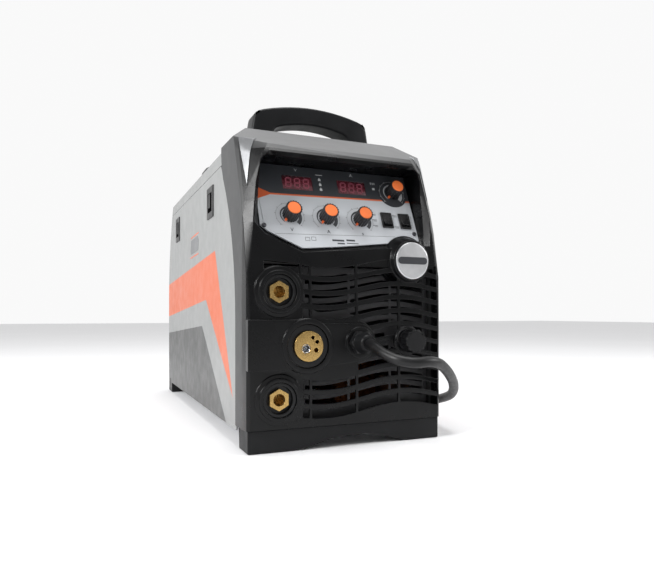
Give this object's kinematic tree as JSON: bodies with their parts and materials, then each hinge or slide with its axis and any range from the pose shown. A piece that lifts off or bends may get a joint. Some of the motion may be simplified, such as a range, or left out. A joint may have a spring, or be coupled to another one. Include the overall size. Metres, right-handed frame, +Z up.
{
  "type": "inverter welding machine",
  "caption": "Portable inverter welding machine with a recessed control panel, wavy air slots, output sockets, torch socket, polarity lead, side door and carrying handles.",
  "frame": {"origin": "middle of the footprint, on the floor, measured without the polarity lead and its plug", "axes": "+X to the machine's right seen from the front, +Y from the front to the back, +Z up"},
  "size_m": [0.3004, 0.6996, 0.4239],
  "materials": {
    "black_moulding": "fine grained",
    "black_fittings": "satin",
    "knob_black": "satin",
    "rocker_black": "glossy",
    "knob_orange": "satin",
    "panel_print": "printed satin",
    "display_red": "smoked red",
    "badge_metal": "spun brushed",
    "inlay_metal": "satin",
    "brass": "machined",
    "steel": "machined",
    "cable_rubber": "satin",
    "body_paint": "fine textured silver",
    "door_paint": "silver with printed bands",
    "chassis_steel": "satin",
    "chassis_black": "satin black",
    "cast_housing": "cast",
    "heat_sink_metal": "extruded",
    "coil_copper": "lacquered winding",
    "circuit_board": "solder mask",
    "switch_red": "satin"
  },
  "bodies": {
    "machine": {"front_bezel": "black_moulding", "front_skirt": "black_moulding", "corner_inlays": "inlay_metal", "control_panel": "panel_print", "meter_displays": "display_red", "control_board": "circuit_board", "case_screws": "steel", "rocker_frames": "black_fittings", "badge": "badge_metal", "output_socket_bodies": "black_fittings", "output_socket_contacts": "brass", "torch_socket_flange": "black_fittings", "torch_socket_body": "brass", "torch_socket_liner": "steel", "lead_gland": "black_moulding", "polarity_lead": "cable_rubber", "lead_plug_sleeve": "cable_rubber", "lead_plug_pin": "brass", "remote_socket": "black_fittings", "cap_tether": "cable_rubber", "base_pan": "chassis_steel", "roof_cover": "body_paint", "right_side_panel": "body_paint", "front_chassis": "chassis_black", "front_handle": "black_moulding", "rear_handle": "black_moulding", "rear_panel": "black_moulding", "rear_skirt": "black_moulding", "divider": "chassis_steel", "feeder_plate": "cast_housing", "feeder_motor": "cast_housing", "spool_axle": "steel", "fan_frame": "black_fittings", "heat_sink": "heat_sink_metal", "transformer": "coil_copper", "main_board": "circuit_board", "gas_valve": "brass", "mains_gland": "black_moulding", "mains_switch_body": "black_fittings"},
    "voltage_knob_body": {"voltage_knob": "knob_black", "voltage_knob_cap": "knob_orange"},
    "inductance_knob_body": {"inductance_knob": "knob_black", "inductance_knob_cap": "knob_orange"},
    "wire_speed_knob_body": {"wire_speed_knob": "knob_black", "wire_speed_knob_cap": "knob_orange"},
    "current_knob_body": {"current_knob": "knob_black", "current_knob_cap": "knob_orange"},
    "trigger_rocker_body": {"trigger_rocker": "rocker_black"},
    "process_rocker_body": {"process_rocker": "rocker_black"},
    "door_body": {"side_door": "door_paint", "latch_frames": "black_moulding"},
    "front_latch_body": {"front_latch": "black_fittings"},
    "rear_latch_body": {"rear_latch": "black_fittings"},
    "drive_roll_body": {"drive_roll": "steel"},
    "pressure_arm_body": {"pressure_arm": "cast_housing"},
    "pressure_roll_body": {"pressure_roll": "steel"},
    "spool_hub_body": {"spool_hub": "black_fittings"},
    "fan_body": {"fan_rotor": "black_fittings"},
    "mains_switch_body_turning": {"mains_switch_knob": "switch_red"},
    "remote_cap_body": {"remote_socket_cap": "black_fittings"}
  },
  "joints": [
    {"name": "voltage_knob_turn", "type": "hinge", "parent": "machine", "child": "voltage_knob_body", "pos_m": [-0.064, -0.2629, 0.2627], "axis": [0, 0.9135, -0.4067], "range_deg": [0, 300]},
    {"name": "inductance_knob_turn", "type": "hinge", "parent": "machine", "child": "inductance_knob_body", "pos_m": [-0.019, -0.2629, 0.2627], "axis": [0, 0.9135, -0.4067], "range_deg": [0, 300]},
    {"name": "wire_speed_knob_turn", "type": "hinge", "parent": "machine", "child": "wire_speed_knob_body", "pos_m": [0.025, -0.2629, 0.2627], "axis": [0, 0.9135, -0.4067], "range_deg": [0, 300]},
    {"name": "current_knob_turn", "type": "hinge", "parent": "machine", "child": "current_knob_body", "pos_m": [0.078, -0.24521, 0.30244], "axis": [0, 0.9135, -0.4067], "range_deg": [0, 300]},
    {"name": "trigger_rocker_tip", "type": "hinge", "parent": "machine", "child": "trigger_rocker_body", "pos_m": [0.0617, -0.26005, 0.26417], "axis": [1, 0, 0], "range_deg": [0, 18]},
    {"name": "process_rocker_tip", "type": "hinge", "parent": "machine", "child": "process_rocker_body", "pos_m": [0.0864, -0.26005, 0.26417], "axis": [1, 0, 0], "range_deg": [0, 18]},
    {"name": "side_door_swing", "type": "hinge", "parent": "machine", "child": "door_body", "pos_m": [-0.1175, -0.141, 0.0215], "axis": [0, -1, 0], "range_deg": [0, 90]},
    {"name": "front_latch_slide", "type": "slide", "parent": "door_body", "child": "front_latch_body", "axis": [0, 0, -1], "range_m": [0, 0.006], "stiffness_N_per_m": 150, "springref_m": -0.003},
    {"name": "rear_latch_slide", "type": "slide", "parent": "door_body", "child": "rear_latch_body", "axis": [0, 0, -1], "range_m": [0, 0.006], "stiffness_N_per_m": 150, "springref_m": -0.003},
    {"name": "drive_roll_spin", "type": "hinge", "parent": "machine", "child": "drive_roll_body", "pos_m": [-0.0578, -0.096, 0.0974], "axis": [1, 0, 0], "continuous": true},
    {"name": "pressure_arm_lift", "type": "hinge", "parent": "machine", "child": "pressure_arm_body", "pos_m": [-0.045, -0.062, 0.148], "axis": [-1, 0, 0], "range_deg": [0, 40]},
    {"name": "pressure_roll_spin", "type": "hinge", "parent": "pressure_arm_body", "child": "pressure_roll_body", "pos_m": [-0.0578, -0.096, 0.1242], "axis": [1, 0, 0], "continuous": true},
    {"name": "spool_hub_spin", "type": "hinge", "parent": "machine", "child": "spool_hub_body", "pos_m": [-0.06, 0.114, 0.19], "axis": [-1, 0, 0], "continuous": true},
    {"name": "fan_spin", "type": "hinge", "parent": "machine", "child": "fan_body", "pos_m": [0.062, 0.266, 0.112], "axis": [0, 1, 0], "continuous": true},
    {"name": "mains_switch_turn", "type": "hinge", "parent": "machine", "child": "mains_switch_body_turning", "pos_m": [-0.07, 0.274, 0.25], "axis": [0, -1, 0], "range_deg": [0, 90]},
    {"name": "remote_cap_pull", "type": "slide", "parent": "machine", "child": "remote_cap_body", "axis": [0, -1, 0], "range_m": [0, 0.03]}
  ],
  "couplings": [
    {"joint": "pressure_roll_spin", "follows": "drive_roll_spin", "ratio": -1.3636}
  ]
}
